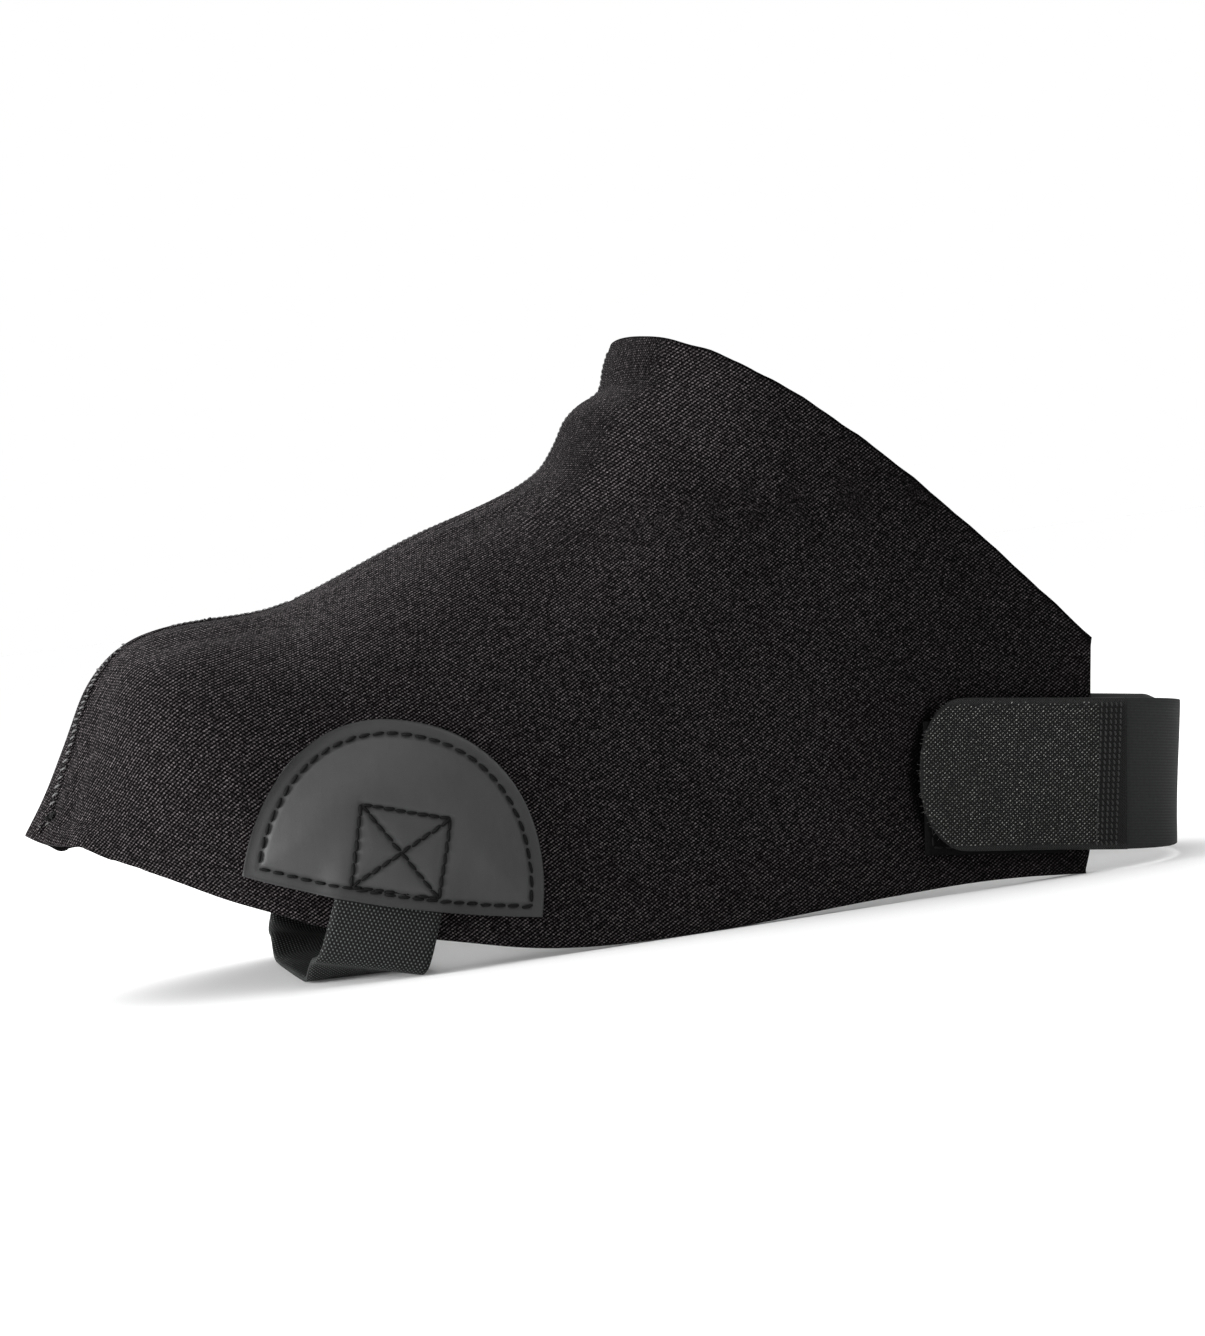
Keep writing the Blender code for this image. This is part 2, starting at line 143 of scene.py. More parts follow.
class Finish:
    """One material: a Principled shader whose constant sockets are set directly."""

    def __init__(self, name, **sockets):
        self.material = bpy.data.materials.new(name)
        self.material.use_nodes = True
        self.tree = self.material.node_tree
        self.shader = self.tree.nodes["Principled BSDF"]
        for socket, value in sockets.items():
            self.shader.inputs[socket.replace("_", " ")].default_value = value

    def node(self, kind, settings=None, *ends, **named):
        """A node of this kind; returns its first output as a Value."""
        made = self.tree.nodes.new(kind)
        for key, value in (settings or {}).items():
            setattr(made, key, value)
        for slot, end in list(enumerate(ends)) + list(named.items()):
            if isinstance(end, Value):
                end = end.socket
            if isinstance(end, bpy.types.NodeSocket):
                self.tree.links.new(end, made.inputs[slot])
            else:
                made.inputs[slot].default_value = end
        return Value(self, made.outputs[0])

    def axes(self, output):
        """The three parts of a texture coordinate."""
        coordinate = self.tree.nodes.new("ShaderNodeTexCoord").outputs[output]
        parts = self.tree.nodes.new("ShaderNodeSeparateXYZ")
        self.tree.links.new(coordinate, parts.inputs[0])
        return [Value(self, part) for part in parts.outputs]

    def facing(self):
        """The three parts of the direction in which the surface faces."""
        normal = self.tree.nodes.new("ShaderNodeNewGeometry").outputs["Normal"]
        parts = self.tree.nodes.new("ShaderNodeSeparateXYZ")
        self.tree.links.new(normal, parts.inputs[0])
        return [Value(self, part) for part in parts.outputs]

    def attribute(self, name):
        """A number stored on the piece's points."""
        made = self.tree.nodes.new("ShaderNodeAttribute")
        made.attribute_name = name
        return Value(self, made.outputs["Fac"])

    def joined(self, x, y, z=0.0):
        return self.node("ShaderNodeCombineXYZ", None, x, y, z)

    def noise(self, where, size, detail=2.0, roughness=0.5):
        """Soft noise from 0 to 1 with blotches of this size."""
        settings = {"noise_dimensions": "3D"}
        ends = {"Vector": where, "Scale": 1 / size, "Detail": detail, "Roughness": roughness}
        return self.node("ShaderNodeTexNoise", settings, **ends)

    def mix(self, share, first, second):
        """Colour from first at 0 to second at 1; each is a colour or the result of a mix."""
        made = self.tree.nodes.new("ShaderNodeMix")
        made.data_type = "RGBA"
        for slot, end in ((0, share), (6, first), (7, second)):
            if isinstance(end, Value):
                self.tree.links.new(end.socket, made.inputs[slot])
            elif slot == 0:
                made.inputs[slot].default_value = end
            else:
                made.inputs[slot].default_value = (*end, 1.0)
        return Value(self, made.outputs[2])

    def feed(self, socket, value):
        self.tree.links.new(value.socket, self.shader.inputs[socket])

    def bump(self, height, distance, strength=1.0):
        made = self.node("ShaderNodeBump", None, Strength=strength, Distance=distance, Height=height)
        self.feed("Normal", made)


def band_axes(x, z):
    """Along and across the heel band on the side of the cover."""
    dx, dz = x - BAND_AT[0], z - BAND_AT[1]
    c, s = math.cos(BAND_FALL), math.sin(BAND_FALL)
    return dx * c - dz * s, dx * s + dz * c


def turned(u, v, degrees):
    """Coordinates along and across lines at this angle."""
    c, s = math.cos(math.radians(degrees)), math.sin(math.radians(degrees))
    return u * c + v * s, v * c - u * s


def knit_loops(along, across):
    """Rows of short stitches along slanting wales."""
    wale = across.sine(WALE_PITCH)
    stitch = (along + across * 0.4).sine(STITCH_PITCH)
    return (wale * 0.8 + stitch * 0.5).smooth(-0.6, 1.1)


def knit_finish(name, dark, light, sheen):
    """Neoprene's knit face: fine slanting wales, coarser to the eye where it turns away, with painted light
    on upward faces, painted shade on the shaft's front, towards the heel and where the points say so, and a
    painted shadow beside the tab's nose."""
    finish = Finish(name, Specular_IOR_Level=0.02, Sheen_Weight=sheen, Sheen_Roughness=0.4)
    finish.shader.inputs["Sheen Tint"].default_value = (1.0, 0.95, 0.96, 1.0)
    u, v, _ = finish.axes("UV")
    x, y, z = finish.axes("Object")
    place = finish.joined(x, y, z)
    _, facing_side, facing_up = finish.facing()
    drift = finish.noise(place, 14 * MM, 2.0) * (1.2 * MM)
    high = x.smooth(25 * MM, 60 * MM) * z.smooth(90 * MM, 112 * MM)
    high = high * facing_side.absolute().smooth(0.34, 0.62)
    along, across = turned(u, v + drift, KNIT_LEAN)
    side_loops = knit_loops(*turned(x, z + drift, KNIT_LEAN))
    loops = knit_loops(along, across) * (1 - high) + side_loops * high
    speck = finish.noise(place, 0.40 * MM, 2.0, 0.75).smooth(0.46, 0.72)
    grain = finish.noise(place, 0.85 * MM, 1.0, 0.5).smooth(0.3, 0.7)
    blotch = finish.noise(place, 24 * MM, 3.0, 0.55)
    shade = loops * (grain * 0.4 + 0.42) + speck * 0.46 + (blotch - 0.5) * 0.12
    front = (facing_side.absolute() * -1.0).smooth(-0.8, -0.3)
    coarse = finish.noise(place, 1.1 * MM, 2.0, 0.75).smooth(0.40, 0.62)
    coarse = coarse * 0.55 + across.sine(1.5 * MM).smooth(-0.4, 0.9) * 0.5
    shade = shade.highest(0.0).power(2.6)
    shade = shade * (1 - front * 0.72 + front * coarse * 1.55)
    # Painted shade: the front of the shaft, where it faces sideways, is darker.
    shaft = front * x.smooth(40 * MM, 66 * MM) * z.smooth(104 * MM, 118 * MM)
    # Painted shade: darker towards the heel.
    rear = x.smooth(105 * MM, 160 * MM)
    # Painted light: faces that look up are lighter, standing in for sheen from above.
    painted_top_light = facing_up.smooth(0.5, 0.95)
    shade = shade * (0.98 + painted_top_light * 0.55 - shaft * 0.40 - rear * 0.32)
    # Painted shade where the points are marked shadowed: the collar's rim and the lining at the toe.
    shade = shade * (1 - finish.attribute("shadowed").smooth(0.45, 0.8) * 0.93)
    # Painted shadow on the cover beside the tab's nose, on its outer side.
    along, up = band_axes(x, z)
    nose = (((along - TAB_NOSE) / TAB_NOSE).power(2.0) + (up / BAND_HALF).power(2.0)).power(0.5)
    under = 1 - ((nose - 1) * TAB_NOSE - 0.6 * MM).smooth(0.0, 2.4 * MM)
    under = under * (along * -1.0).smooth(-7 * MM, -3 * MM) * (y * -1.0).smooth(0.0, 10 * MM)
    shade = shade * (1 - under * 0.85)
    finish.feed("Base Color", finish.mix(shade, dark, light))
    finish.feed("Roughness", 0.92 - speck * 0.2)
    finish.bump(loops + speck * 0.5, 0.12 * MM, 0.9)
    return finish.material


def foam_finish():
    """Raw cut edge: closed-cell foam between two thin fabric faces."""
    finish = Finish("cut_edge_foam", Roughness=0.95, Specular_IOR_Level=0.15)
    x, y, z = finish.axes("Object")
    place = finish.joined(x, y, z)
    cells = finish.noise(place, 0.35 * MM, 3.0, 0.7)
    dark, light = (0.0025, 0.002, 0.0025), (0.010, 0.0085, 0.009)
    finish.feed("Base Color", finish.mix(cells.smooth(0.3, 0.75), dark, light))
    finish.bump(cells, 0.15 * MM, 0.7)
    return finish.material


def patch_finish():
    """Smooth coated fabric with a soft shine and faint handling marks, duller outside its stitches; darker
    there and in the stitch grooves, partly rubbed tone and partly painted shade.
    """
    finish = Finish("coated_fabric", Specular_IOR_Level=0.42, IOR=1.45)
    x, y, z = finish.axes("Object")
    place = finish.joined(x, y, z)
    cloud = finish.noise(place, 16 * MM, 3.0, 0.6)
    grain = finish.noise(place, 0.5 * MM, 2.0, 0.6)
    streak = finish.noise(finish.joined(x, y, z * 0.22), 1.6 * MM, 2.0, 0.5)
    shade = cloud * 0.6 + grain * 0.2 + streak * 0.2
    within = finish.attribute("within")
    # Lighter within the stitches, darker on the border and in the stitch grooves: partly rubbed tone,
    # partly painted shade.
    rubbed_and_shaded = shade * (within * 0.35 + 0.6) + within * 0.12 - 0.08
    finish.feed("Base Color", finish.mix(rubbed_and_shaded, (0.019, 0.019, 0.020), (0.054, 0.054, 0.055)))
    finish.feed("Roughness", 0.50 + grain * 0.08 + cloud * 0.08 - within * 0.03)
    finish.bump(grain * 0.5 + streak * 0.6 + cloud * 2.0, 0.10 * MM, 0.5)
    return finish.material


def thread_finish(name, colour, roughness):
    """Twisted sewing thread."""
    finish = Finish(name, Specular_IOR_Level=0.15 + min(3 * colour[0], 0.3))
    x, y, z = finish.axes("Object")
    twist = (x + z * 0.8 + y * 0.6).sine(0.34 * MM)
    tone = tuple(c * 2.2 for c in colour)
    finish.feed("Base Color", finish.mix(twist.smooth(-0.6, 1.0), colour, tone))
    finish.feed("Roughness", roughness + twist * 0.06)
    finish.bump(twist, 0.05 * MM, 0.6)
    return finish.material


def webbing_finish():
    """Plain-woven webbing: staggered warp floats and a tight selvedge."""
    finish = Finish("woven_webbing", Specular_IOR_Level=0.22)
    u, v, _ = finish.axes("UV")
    place = finish.joined(u, v)
    pick = v / (0.78 * MM)
    row = pick.floor()
    stagger = (row * 0.5).math("FRACT") * (2 * math.pi)
    warp = (u * (2 * math.pi / (0.98 * MM)) + stagger).math("SINE")
    rib = (pick.math("FRACT") - 0.5).absolute() * -2.0 + 1.0
    float_ = warp.smooth(0.1, 0.95) * rib.smooth(0.15, 0.8)
    wear = finish.noise(place, 0.8 * MM, 2.0).smooth(0.3, 0.75)
    shade = float_ * (wear * 0.6 + 0.55)
    finish.feed("Base Color", finish.mix(shade, (0.0006, 0.0009, 0.0007), (0.106, 0.117, 0.111)))
    finish.feed("Roughness", 0.78 - float_ * 0.22)
    finish.bump(float_, 0.16 * MM, 0.9)
    return finish.material


def elastic_finish():
    """Flat elastic: fine cords along its length, crossed by the weft."""
    finish = Finish("woven_elastic", Specular_IOR_Level=0.18)
    u, v, _ = finish.axes("UV")
    place = finish.joined(u, v)
    cord = v.sine(0.74 * MM)
    weft = u.sine(0.46 * MM)
    loops = (cord * 0.35 + weft * 0.35 + cord * weft * 0.3 + 0.5).smooth(-0.2, 1.3)
    cloth = finish.noise(place, 0.9 * MM, 3.0, 0.6)
    shade = loops * 0.22 + cloth * 0.75
    finish.feed("Base Color", finish.mix(shade, (0.009, 0.0095, 0.0095), (0.026, 0.027, 0.027)))
    finish.feed("Roughness", 0.82 - loops * 0.12)
    finish.bump(loops, 0.05 * MM, 0.5)
    return finish.material


def tape_finish():
    """Ground weave of the hook tape, with plain ribbed borders."""
    finish = Finish("hook_tape_ground", Specular_IOR_Level=0.15)
    u, v, _ = finish.axes("UV")
    place = finish.joined(u, v)
    rib = u.sine(0.66 * MM)
    pick = v.sine(0.66 * MM)
    cloth = finish.noise(place, 0.6 * MM, 3.0, 0.7)
    loops = (rib * pick * 0.5 + rib * 0.12 + (cloth - 0.5) * 1.6 + 0.3).smooth(-0.5, 1.1)
    x, _, z = finish.axes("Object")
    _, up = band_axes(x, z)
    border = up.absolute().smooth(BAND_HALF - 2.2 * MM, BAND_HALF - 0.9 * MM)
    shade = loops * (border * 0.6 + 0.4)
    finish.feed("Base Color", finish.mix(shade, (0.0010, 0.0012, 0.0011), (0.031, 0.033, 0.031)))
    finish.feed("Roughness", 0.82 - loops * 0.2)
    finish.bump(loops, 0.16 * MM, 0.8)
    return finish.material


def loop_finish():
    """Brushed loop tape: dark matted nap."""
    finish = Finish("brushed_loop", Roughness=0.95, Specular_IOR_Level=0.05)
    x, y, z = finish.axes("Object")
    place = finish.joined(x, y, z)
    nap = finish.noise(place, 0.7 * MM, 4.0, 0.7)
    tuft = finish.noise(place, 3.0 * MM, 2.0)
    dark, light = (0.0012, 0.0012, 0.0013), (0.0075, 0.0075, 0.008)
    finish.feed("Base Color", finish.mix(nap * 0.7 + tuft * 0.3, dark, light))
    finish.bump(nap, 0.5 * MM, 0.8)
    return finish.material


def hook_finish():
    """Nylon of the small hooks, brighter than the tape they stand on."""
    finish = Finish("hook_nylon", Roughness=0.42, Specular_IOR_Level=0.5)
    x, y, z = finish.axes("Object")
    vary = finish.noise(finish.joined(x, y, z), 0.45 * MM, 1.0, 0.5)
    bright = vary.smooth(0.42, 0.72)
    finish.feed("Base Color", finish.mix(bright, (0.036, 0.038, 0.035), (0.26, 0.265, 0.25)))
    return finish.material


def alone(piece):
    bpy.ops.object.select_all(action="DESELECT")
    piece.select_set(True)
    bpy.context.view_layer.objects.active = piece


def finished(piece, name, slot, *materials):
    """Names a piece, gives it its materials and lets it ride."""
    piece.name = piece.data.name = name
    if materials:
        piece.data.materials.clear()
        for material in materials:
            piece.data.materials.append(material)
    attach(piece, "root")
    return piece


def copy_of(node):
    """An editable quad copy of a CAD node, its doubles merged."""
    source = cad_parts[node]
    piece = source.copy()
    piece.data = source.data.copy()
    for key in list(piece.keys()):
        del piece[key]
    piece.parent = None
    bpy.context.scene.collection.objects.link(piece)
    alone(piece)
    bpy.ops.object.mode_set(mode="EDIT")
    bpy.ops.mesh.customdata_custom_splitnormals_clear()
    bpy.ops.mesh.select_all(action="SELECT")
    bpy.ops.mesh.remove_doubles(threshold=0.01 * MM)
    bpy.ops.mesh.tris_convert_to_quads(face_threshold=math.radians(30), shape_threshold=math.radians(60))
    bpy.ops.object.mode_set(mode="OBJECT")
    return piece


def crease_and_seam(piece, angle, crease, cut=None):
    """Creases the sharp edges, and marks them and the cut's edges as seams of the map."""
    shape = bmesh.new()
    shape.from_mesh(piece.data)
    layer = shape.edges.layers.float.get("crease_edge") or shape.edges.layers.float.new("crease_edge")
    corner = shape.verts.layers.float.get("crease_vert") or shape.verts.layers.float.new("crease_vert")
    for edge in shape.edges:
        sharp = len(edge.link_faces) == 2 and edge.calc_face_angle() > angle
        edge.seam = sharp or bool(cut and cut(edge))
        edge[layer] = crease if sharp else 0.0
        edge.smooth = True
    for vertex in shape.verts:
        sharp_edges = [edge for edge in vertex.link_edges if edge[layer]]
        ways = [(edge.other_vert(vertex).co - vertex.co).normalized() for edge in sharp_edges]
        turning = len(ways) == 2 and ways[0].dot(ways[1]) > -math.cos(math.radians(32))
        vertex[corner] = 1.0 if len(ways) > 2 or turning else 0.0
    for face in shape.faces:
        face.smooth = True
    shape.to_mesh(piece.data)
    shape.free()


def islands(piece):
    """Groups of faces that no seam separates, each a list of face numbers."""
    shape = bmesh.new()
    shape.from_mesh(piece.data)
    shape.faces.ensure_lookup_table()
    seen = set()
    groups = []
    for face in shape.faces:
        if face.index in seen:
            continue
        group, queue = [], [face]
        seen.add(face.index)
        while queue:
            here = queue.pop()
            group.append(here.index)
            for edge in here.edges:
                if edge.seam:
                    continue
                for other in edge.link_faces:
                    if other.index not in seen:
                        seen.add(other.index)
                        queue.append(other)
        groups.append(group)
    shape.free()
    return groups


def unfold(piece, guide):
    """Lays the piece out flat and turns each part so that its map runs, in metres, as the guide does."""
    alone(piece)
    bpy.ops.object.mode_set(mode="EDIT")
    bpy.ops.mesh.select_all(action="SELECT")
    bpy.ops.uv.unwrap(method="ANGLE_BASED", margin=0.0)
    bpy.ops.object.mode_set(mode="OBJECT")
    mesh = piece.data
    flat = mesh.uv_layers.active.data
    guide = np.array(guide)
    groups = islands(piece)
    areas = []
    for group in groups:
        loops = []
        legs_from, legs_to = [], []
        for number in group:
            ring = list(mesh.polygons[number].loop_indices)
            loops += ring
            legs_from += ring
            legs_to += ring[1:] + ring[:1]
        where = {loop: k for k, loop in enumerate(loops)}
        spot = np.array([complex(*flat[loop].uv) for loop in loops])
        solid = np.array([mesh.vertices[mesh.loops[loop].vertex_index].co[:] for loop in loops])
        a = np.array([where[loop] for loop in legs_from])
        b = np.array([where[loop] for loop in legs_to])
        leg = spot[b] - spot[a]
        real = solid[b] - solid[a]
        size = math.sqrt((real**2).sum() / max((np.abs(leg) ** 2).sum(), 1e-12))
        wish = real @ guide
        plain = (np.conj(leg) * wish).sum()
        mirrored = (leg * wish).sum()
        if abs(mirrored) > abs(plain):
            spot, turn = np.conj(spot), mirrored
        else:
            turn = plain
        if abs(turn) > 0:
            spot = spot * (turn / abs(turn))
        spot = spot * size
        spot += (solid @ guide).mean() - spot.mean()
        for loop, s in zip(loops, spot):
            flat[loop].uv = (s.real, s.imag)
        areas.append(sum(mesh.polygons[n].area for n in group))
    return groups, areas


def subdivide(piece, levels):
    alone(piece)
    modifier = piece.modifiers.new("smooth", "SUBSURF")
    modifier.levels = modifier.render_levels = levels
    modifier.boundary_smooth = "PRESERVE_CORNERS"
    bpy.ops.object.modifier_apply(modifier=modifier.name)


def points_of(piece):
    flat = np.empty(len(piece.data.vertices) * 3)
    piece.data.vertices.foreach_get("co", flat)
    return flat.reshape(-1, 3)


def normals_of(piece):
    return np.array([v.normal[:] for v in piece.data.vertices])


def move_points(piece, points):
    piece.data.vertices.foreach_set("co", points.reshape(-1))
    piece.data.update()


def surface_of(*pieces):
    """Tree of the pieces' own faces for finding places on them."""
    points, faces = [], []
    for piece in pieces:
        first = len(points)
        points += [v.co.copy() for v in piece.data.vertices]
        faces += [tuple(first + v for v in p.vertices) for p in piece.data.polygons]
    return BVHTree.FromPolygons(points, faces)


def bell(distance, width):
    """1 at no distance, falling softly to 0."""
    return np.exp(-((distance / width) ** 2))


def seam_path(steps):
    """Evenly spaced points along the seam's table."""
    table = np.array(SEAM) * MM
    run = lengths_along(table)
    even = np.linspace(0, run[-1], steps)
    soft = np.array([np.interp(even, run, table[:, k]) for k in range(3)]).T
    for _ in range(12):
        soft[1:-1] = (soft[:-2] + 2 * soft[1:-1] + soft[2:]) / 4
    return soft


def on_surface(tree, point, lift=0.0):
    """Nearest place on a surface, its normal, and the place lifted off it."""
    spot, normal, _, _ = tree.find_nearest(Vector(point))
    return spot + normal * lift, normal


def from_side(tree, side, place):
    """Spot and normal where a surface is first met from this side, at a place along and up."""
    x, z = place
    return tree.ray_cast(Vector((x, side * BESIDE, z)), Vector((0, -side, 0)))[:2]


def path_from_side(tree, side, places):
    """A line of places along and up, carried onto a surface from this side."""
    spots = [from_side(tree, side, place)[0] for place in places]
    return [spot[:] for spot in spots if spot]


def scattered(name, original, places):
    """One mesh holding a copy of the original at each matrix."""
    base = points_of(original)
    base = np.hstack([base, np.ones((len(base), 1))])
    faces = [tuple(p.vertices) for p in original.data.polygons]
    points, loops = [], []
    for k, place in enumerate(places):
        points.append(base @ np.array(place).T[:, :3])
        loops += [tuple(i + k * len(base) for i in face) for face in faces]
    mesh = bpy.data.meshes.new(name)
    mesh.from_pydata(np.concatenate(points).tolist(), [], loops)
    mesh.shade_smooth()
    piece = bpy.data.objects.new(name, mesh)
    bpy.context.scene.collection.objects.link(piece)
    bpy.data.objects.remove(original)
    return piece


def framed(spot, along, normal, size=(1, 1, 1)):
    """Matrix that stands a piece's x axis along a direction and its z axis on a normal."""
    normal = Vector(normal).normalized()
    along = Vector(along)
    along = (along - normal * along.dot(normal)).normalized()
    side = normal.cross(along)
    return Matrix((
        (along.x * size[0], side.x * size[1], normal.x * size[2], spot[0]),
        (along.y * size[0], side.y * size[1], normal.y * size[2], spot[1]),
        (along.z * size[0], side.z * size[1], normal.z * size[2], spot[2]),
        (0, 0, 0, 1),
    ))


def stitch_shape(length, width, height):
    """One stitch: a short thread, fat in the middle, whose ends go down into the cloth."""
    bpy.ops.mesh.primitive_uv_sphere_add(segments=7, ring_count=8, radius=1.0, rotation=(0, math.pi / 2, 0))
    stitch = bpy.context.active_object
    bpy.ops.object.transform_apply(rotation=True)
    points = points_of(stitch)
    x = points[:, 0]
    body = np.sqrt(np.clip(1 - np.abs(x) ** 3.2, 0, 1)) / np.sqrt(np.clip(1 - x**2, 1e-6, 1))
    points[:, 1] *= body * width / 2
    points[:, 2] = points[:, 2] * body * height / 2 - 0.55 * height * x**4 + 0.1 * height
    points[:, 0] = x * length / 2
    move_points(stitch, points)
    return stitch


def sewn(name, slot, material, size, places):
    """A piece made of stitches of this length, width and height in millimetres."""
    thread = scattered(name, stitch_shape(*(part * MM for part in size)), places)
    finished(thread, name, slot, material)


def point_at(path, run, distance):
    """The point of a path at this distance along it; run holds the distances of its own points."""
    return np.array([np.interp(distance, run, path[:, j]) for j in range(3)])


def lengths_along(path):
    return np.concatenate([[0], np.cumsum(np.linalg.norm(np.diff(path, axis=0), axis=1))])


def sewn_line(name, tree, path, pitch, height, sway=0.0, proud=0.25):
    """Places of stitches end to end along a path that lies on a surface."""
    path = np.array(path)
    run = lengths_along(path)
    count = max(1, int(round(run[-1] / pitch)))
    step = run[-1] / count
    draw = random.Random(name)
    places = []
    for k in range(count):
        start, middle, end = (point_at(path, run, (k + share) * step) for share in (0.08, 0.5, 0.92))
        spot, normal = on_surface(tree, middle, height * proud)
        along = Vector(end - start)
        side = Vector(normal).cross(along).normalized()
        along = along + side * along.length * (sway + draw.uniform(-0.07, 0.07))
        swell = draw.uniform(0.9, 1.1)
        places.append(framed(spot, along, normal, (step / pitch * draw.uniform(0.95, 1.04), swell, swell)))
    return places


# Colours of the outside, worked out once.
KNIT = knit_finish("knit_neoprene", (0.0005, 0.0003, 0.0004), (0.130, 0.115, 0.119), 0.012)
FOAM = foam_finish()
COATED = patch_finish()
BLACK_THREAD = thread_finish("black_thread", (0.0018, 0.0018, 0.0018), 0.75)
SEAM_THREAD = thread_finish("seam_thread", (0.050, 0.049, 0.049), 0.5)
TAIL_THREAD = thread_finish("tail_thread", (0.045, 0.044, 0.043), 0.5)
JOINT_THREAD = thread_finish("joint_thread", (0.020, 0.021, 0.020), 0.55)
WEBBING = webbing_finish()
ELASTIC = elastic_finish()
TAPE = tape_finish()
LOOP = loop_finish()
HOOK = hook_finish()


def outside_of(piece, groups):
    """Tree of the faces on the outside of the cover, as they are before smoothing."""
    mesh = piece.data
    faces = []
    for group in groups:
        facing = 0.0
        for number in group:
            face = mesh.polygons[number]
            spine = Vector((max(face.center.x, -30 * MM), 0, min(face.center.z, 25 * MM)))
            facing += face.area * face.normal.dot((face.center - spine).normalized())
        if facing > 0 and mesh.polygons[group[0]].material_index == 0:
            faces += group
    points = [v.co.copy() for v in mesh.vertices]
    return BVHTree.FromPolygons(points, [tuple(mesh.polygons[n].vertices) for n in faces])


def at_collar(spot):
    """Whether a place on a cut edge lies at the collar, and not at the hem."""
    return spot.z > 55 * MM and spot.x > 80 * MM


def collar_points(piece):
    """Middles of the faces of the collar's cut edge, in millimetres."""
    cut = [face.center for face in piece.data.polygons if face.material_index == 1]
    return np.array([spot[:] for spot in cut if at_collar(spot)]) / MM


def collar_edge(piece):
    """1 for the points where the outer face meets the collar's cut edge, else 0."""
    on_face, on_cut = set(), set()
    for face in piece.data.polygons:
        (on_cut if face.material_index == 1 else on_face).update(face.vertices)
    marked = np.zeros(len(piece.data.vertices))
    for number in on_face & on_cut:
        if at_collar(piece.data.vertices[number].co):
            marked[number] = 1.0
    return marked


def make_upper():
    """The neoprene cover, smoothed, with its soft folds and its two fabric faces."""
    piece = copy_of("upper")

    def along_middle(edge):
        sides = [face.normal.y for face in edge.link_faces]
        return len(sides) == 2 and sides[0] * sides[1] < 0 and edge.calc_face_angle() < SHARP

    crease_and_seam(piece, SHARP, 0.9, along_middle)
    groups, areas = unfold(piece, (1, 0, 1j))
    for group, area in zip(groups, areas):
        if area < CUT_EDGE_AREA:
            for number in group:
                piece.data.polygons[number].material_index = 1
    skin = outside_of(piece, groups)
    subdivide(piece, 2)
    points = points_of(piece)
    away = np.array([skin.find_nearest(Vector(p))[1][:] for p in points])
    x, y, z = (points / MM).T

    # Bulge and two soft folds across the front of the shaft.
    front = bell(y - 4, 30) * (z > 95)
    lift = front * (0.6 * bell(z - 129.5, 3.6) - 1.0 * bell(z - 136.6, 2.4) + 0.4 * bell(z - 142.5, 3.0))
    # Trough and ridge along the top of the toe, and a dent beside them.
    toe_top = softened((x + 46) / 14) * softened((10 - x) / 20) * (z > 60)
    lift += toe_top * (-1.0 * bell(y + 18 + 0.06 * x, 4.6) + 0.35 * bell(y + 9 + 0.05 * x, 4.5))
    lift -= 0.7 * bell(x + 20, 10) * bell(y + 30, 8) * (z > 55)
    # Creases that run beside the seam up the instep.
    ridge = softened((x - 2) / 14) * softened((66 - x) / 12) * (z > 85)
    folds = 0.3 * bell(y + 2, 2.2) - 0.6 * bell(y + 6.8, 2.0)
    lift += ridge * (folds + 0.45 * bell(y + 11.5, 2.8) - 0.3 * bell(y + 17, 3.5))
    # The toe drawn to a blunt edge under its seam, with a crease that follows the seam.
    keel = softened((-43 - x) / 12) * (z > 38) * (1 - softened((np.abs(y) - 12) / 26))
    lift += keel * (0.5 - 2.0 * softened(np.abs(y - 4) / 10))
    line = seam_path(120) / MM
    gap = np.sqrt(((points[:, None, :] / MM - line[None]) ** 2).sum(-1)).min(1)
    toe_side = (y < -6) * (z > 45) * softened((-44 - x) / 8)
    folds = 0.3 * bell(gap - 6.5, 2.5) - 0.35 * bell(gap - 11.5, 2.6)
    lift += toe_side * (folds + 0.2 * bell(gap - 17, 3.5))
    # Slight waves of the sides.
    side = np.clip(np.abs(y) / 40, 0, 1)
    waves = np.sin(x * 0.11 + z * 0.05) * np.sin(z * 0.10 - x * 0.04 + 1.2)
    lift -= 0.22 * side * (1 + waves)
    points += away * lift[:, None] * MM

    # The collar's uneven rim.
    rim = collar_points(piece)
    nearest = np.sqrt(((points[:, None, :] / MM - rim[None, ::3]) ** 2).sum(-1)).min(1)
    points[:, 2] += (0.3 * bell(x - 99, 8) - 0.1 * bell(x - 120, 9)) * bell(nearest, 9) * MM
    ripple = 0.16 * np.sin(x * 0.42 + 1.1 * np.sin(x * 0.13)) + 0.10 * np.sin(x * 0.95 + y * 0.1)
    points[:, 2] += ripple * bell(nearest, 4) * MM
    points[:, 2] = np.maximum(points[:, 2], 0)

    # The far hem hangs below the near one at the toe, and the heel's lower corner curls.
    flap = bell(x + 64.5, 3.6) * softened((y - 3) / 5) * softened((52 - z) / 12)
    near_hem = bell(x + 62, 5) * softened((-1 - y) / 3) * softened((47 - z) / 6)
    points[:, 2] += (1.4 * near_hem - 1.9 * flap) * MM
    rear = softened((x - 168) / 16) * (y < 0)
    points[:, 0] += rear * (1.0 * bell(z - 15, 7) - 0.9 * bell(z, 6)) * MM
    move_points(piece, points)

    # Painted shade on the knit: the rim of the collar, and the lining at the toe.
    shadowed = collar_edge(piece)
    unlifted = points - away * lift[:, None] * MM
    lining = np.array([skin.find_nearest(Vector(p))[3] for p in unlifted]) > 1.5 * MM
    shadowed[lining & (x < -52) & (z < 54)] = 1.0
    dark = piece.data.attributes.new("shadowed", "FLOAT", "POINT")
    dark.data.foreach_set("value", shadowed)
    finished(piece, "neoprene_cover", "neoprene", KNIT, FOAM)
    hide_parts("upper")
    return piece


